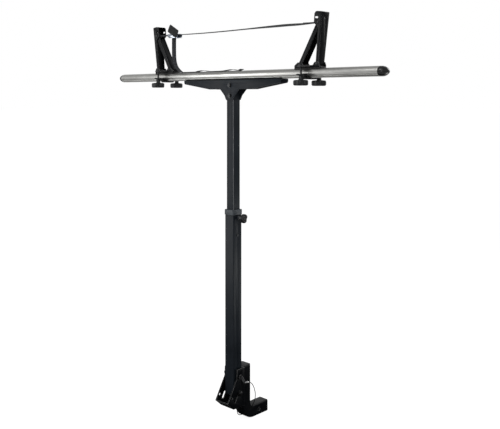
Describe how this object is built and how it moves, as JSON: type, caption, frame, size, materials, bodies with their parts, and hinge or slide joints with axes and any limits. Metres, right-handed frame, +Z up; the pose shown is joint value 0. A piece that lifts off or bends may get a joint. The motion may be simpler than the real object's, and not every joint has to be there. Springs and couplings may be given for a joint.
{
  "type": "hitch mount load carrier",
  "caption": "tilting hitch post with a telescoping mast, an oval crossbar, folding clamp-on load supports and a cam buckle strap",
  "frame": {"origin": "centre of the hitch pin bore, on the centre line of the tongue", "axes": "+Z up, +Y towards the vehicle along the tongue, +X across along the crossbar"},
  "size_m": [1.562, 0.277, 1.7278],
  "materials": {
    "powder_coat": "satin powder coat, slate grey",
    "black_coat": "satin black powder coat",
    "bright_steel": "zinc plated steel",
    "dark_steel": "black plated steel",
    "aluminium_bar": "extruded, satin anodised",
    "black_plastic": "moulded, fine grain",
    "grey_plastic": "moulded, fine grain",
    "black_rubber": "smooth",
    "webbing": "woven, plain",
    "buckle_metal": "polished plate",
    "cover_cloth": "padded, woven",
    "sleeve": "smooth sleeve"
  },
  "bodies": {
    "hitch_base": {"hitch_shank": "powder_coat", "shank_cap": "black_plastic", "foot_bracket": "powder_coat", "pivot_bolt": "dark_steel", "pivot_spacers": "dark_steel", "lock_pin_bush": "powder_coat", "lanyard": "dark_steel", "lanyard_eye": "dark_steel", "rattle_screw": "dark_steel"},
    "lock_pin": {"lock_pin": "bright_steel", "lock_pin_ring": "sleeve"},
    "outer_post": {"outer_post": "powder_coat", "post_collar": "grey_plastic", "clamp_boss": "powder_coat", "guide_screw": "dark_steel"},
    "post_knob": {"post_clamp_stud": "bright_steel", "post_clamp_knob": "black_plastic"},
    "mast": {"inner_post": "powder_coat", "inner_glide": "black_plastic", "bar_bracket": "black_coat", "bracket_bolts": "dark_steel", "bar_fixings": "dark_steel", "crossbar": "aluminium_bar", "end_cap_left": "black_plastic", "end_cap_right": "black_plastic", "strap_tail_run": "webbing", "strap_left_span": "webbing", "strap_right_span": "webbing"},
    "support_left": {"support_base_left": "black_coat", "bar_pad_left": "black_rubber", "clamp_yoke_left": "black_coat", "clamp_saddle_left": "black_coat", "clamp_bolts_left": "dark_steel", "foot_pin_left": "dark_steel"},
    "upright_left": {"upright_left": "black_coat", "head_pin_left": "dark_steel", "buckle_loop": "webbing", "buckle_frame": "buckle_metal", "buckle_cover": "cover_cloth", "strap_left_end": "webbing", "strap_tail_drop": "webbing"},
    "brace_left": {"brace_left": "black_coat", "brace_pin_left": "dark_steel"},
    "knob_left_front": {"clamp_knob_left_front": "black_plastic"},
    "knob_left_rear": {"clamp_knob_left_rear": "black_plastic"},
    "support_right": {"support_base_right": "black_coat", "bar_pad_right": "black_rubber", "clamp_yoke_right": "black_coat", "clamp_saddle_right": "black_coat", "clamp_bolts_right": "dark_steel", "foot_pin_right": "dark_steel"},
    "upright_right": {"upright_right": "black_coat", "head_pin_right": "dark_steel", "strap_right_end": "webbing"},
    "brace_right": {"brace_right": "black_coat", "brace_pin_right": "dark_steel"},
    "knob_right_front": {"clamp_knob_right_front": "black_plastic"},
    "knob_right_rear": {"clamp_knob_right_rear": "black_plastic"},
    "cam": {"cam_lever": "buckle_metal"}
  },
  "joints": [
    {"name": "lock_pin_pull", "type": "slide", "parent": "hitch_base", "child": "lock_pin", "axis": [1, 0, 0], "range_m": [0, 0.111]},
    {"name": "post_tilt", "type": "hinge", "parent": "hitch_base", "child": "outer_post", "pos_m": [0, -0.134, 0.11], "axis": [1, 0, 0], "range_deg": [0, 90]},
    {"name": "post_knob_turn", "type": "hinge", "parent": "outer_post", "child": "post_knob", "pos_m": [0.05, -0.134, 0.853], "axis": [1, 0, 0], "continuous": true},
    {"name": "post_height", "type": "slide", "parent": "outer_post", "child": "mast", "axis": [0, 0, 1], "range_m": [-0.34, 0.15]},
    {"name": "support_left_slide", "type": "slide", "parent": "mast", "child": "support_left", "axis": [1, 0, 0], "range_m": [-0.22, 0.09], "deforming": ["strap_left_end", "strap_left_span", "strap_tail_drop", "strap_tail_run", "strap_right_end", "strap_right_span"]},
    {"name": "upright_left_fold", "type": "hinge", "parent": "support_left", "child": "upright_left", "pos_m": [-0.48, -0.134, 1.4935], "axis": [0, -1, 0], "range_deg": [0, 83], "deforming": ["strap_left_end", "strap_left_span", "strap_tail_drop", "strap_tail_run", "buckle_loop"]},
    {"name": "brace_left_fold", "type": "hinge", "parent": "upright_left", "child": "brace_left", "pos_m": [-0.488, -0.134, 1.6535], "axis": [0, -1, 0], "range_deg": [-13.5, 0]},
    {"name": "knob_left_front_turn", "type": "hinge", "parent": "support_left", "child": "knob_left_front", "pos_m": [-0.432, -0.19, 1.42], "axis": [0, 0, 1], "continuous": true},
    {"name": "knob_left_rear_turn", "type": "hinge", "parent": "support_left", "child": "knob_left_rear", "pos_m": [-0.432, -0.078, 1.42], "axis": [0, 0, 1], "continuous": true},
    {"name": "support_right_slide", "type": "slide", "parent": "mast", "child": "support_right", "axis": [1, 0, 0], "range_m": [-0.09, 0.22], "deforming": ["strap_left_end", "strap_left_span", "strap_tail_drop", "strap_tail_run", "strap_right_end", "strap_right_span"]},
    {"name": "upright_right_fold", "type": "hinge", "parent": "support_right", "child": "upright_right", "pos_m": [0.469, -0.134, 1.4935], "axis": [0, 1, 0], "range_deg": [0, 83], "deforming": ["strap_right_end", "strap_right_span"]},
    {"name": "brace_right_fold", "type": "hinge", "parent": "upright_right", "child": "brace_right", "pos_m": [0.477, -0.134, 1.6535], "axis": [0, 1, 0], "range_deg": [-13.5, 0]},
    {"name": "knob_right_front_turn", "type": "hinge", "parent": "support_right", "child": "knob_right_front", "pos_m": [0.421, -0.19, 1.42], "axis": [0, 0, 1], "continuous": true},
    {"name": "knob_right_rear_turn", "type": "hinge", "parent": "support_right", "child": "knob_right_rear", "pos_m": [0.421, -0.078, 1.42], "axis": [0, 0, 1], "continuous": true},
    {"name": "cam_lever_press", "type": "hinge", "parent": "upright_left", "child": "cam", "pos_m": [-0.376, -0.134, 1.6465], "axis": [0, 1, 0], "range_deg": [0, 25], "stiffness_Nm_per_rad": 0.12, "springref_deg": -34.38}
  ],
  "couplings": [
    {"joint": "lock_pin_pull", "follows": "post_tilt", "m_per_rad": 0.070028},
    {"joint": "brace_left_fold", "follows": "upright_left_fold", "ratio": -0.16265},
    {"joint": "brace_right_fold", "follows": "upright_right_fold", "ratio": -0.16265}
  ]
}
